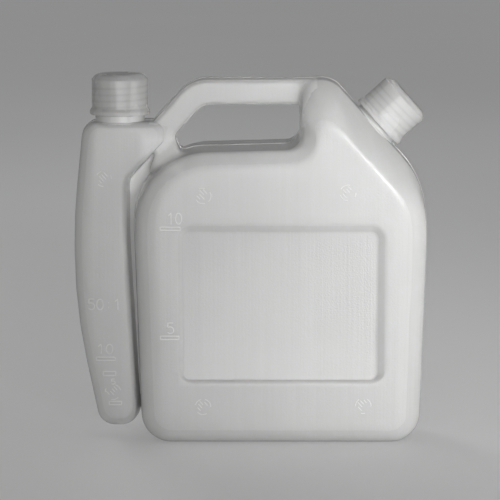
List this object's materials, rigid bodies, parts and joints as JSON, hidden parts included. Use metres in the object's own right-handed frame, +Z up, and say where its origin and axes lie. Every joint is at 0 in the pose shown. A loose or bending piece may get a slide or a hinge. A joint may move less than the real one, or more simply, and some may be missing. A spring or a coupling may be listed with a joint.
{
  "type": "fuel mixing bottle",
  "caption": "Blow-moulded fuel mixing bottle with a petrol chamber, a slim oil chamber beside it, a carry handle and a lined screw cap on each slanted or upright neck.",
  "frame": {"origin": "middle of the petrol chamber's base, on the ground", "axes": "+X to the right across the front, +Y to the back, +Z up"},
  "size_m": [0.1899, 0.0662, 0.1985],
  "materials": {
    "bottle": "satin, milky natural polyethylene",
    "petrol_cap": "satin, milky natural polyethylene",
    "petrol_cap_liner": "matt white foam",
    "oil_cap": "satin, milky natural polyethylene",
    "oil_cap_liner": "matt white foam"
  },
  "bodies": {
    "bottle": {"bottle": "bottle"},
    "petrol_seal": {"petrol_cap_liner": "petrol_cap_liner"},
    "petrol_cap": {"petrol_cap": "petrol_cap"},
    "oil_seal": {"oil_cap_liner": "oil_cap_liner"},
    "oil_cap": {"oil_cap": "oil_cap"}
  },
  "joints": [
    {"name": "petrol_rise", "type": "slide", "parent": "bottle", "child": "petrol_seal", "axis": [0.7408, 0, 0.6717], "range_m": [0, 0.0208]},
    {"name": "petrol_turn", "type": "hinge", "parent": "petrol_seal", "child": "petrol_cap", "pos_m": [0.05188, 0, 0.17052], "axis": [0.7408, 0, 0.6717], "range_deg": [0, 2340]},
    {"name": "oil_rise", "type": "slide", "parent": "bottle", "child": "oil_seal", "axis": [0, 0, 1], "range_m": [0, 0.0208]},
    {"name": "oil_turn", "type": "hinge", "parent": "oil_seal", "child": "oil_cap", "pos_m": [-0.0863, 0, 0.173], "axis": [0, 0, 1], "range_deg": [0, 2340]}
  ],
  "couplings": [
    {"joint": "petrol_rise", "follows": "petrol_turn", "m_per_rad": 0.000509},
    {"joint": "oil_rise", "follows": "oil_turn", "m_per_rad": 0.000509}
  ]
}
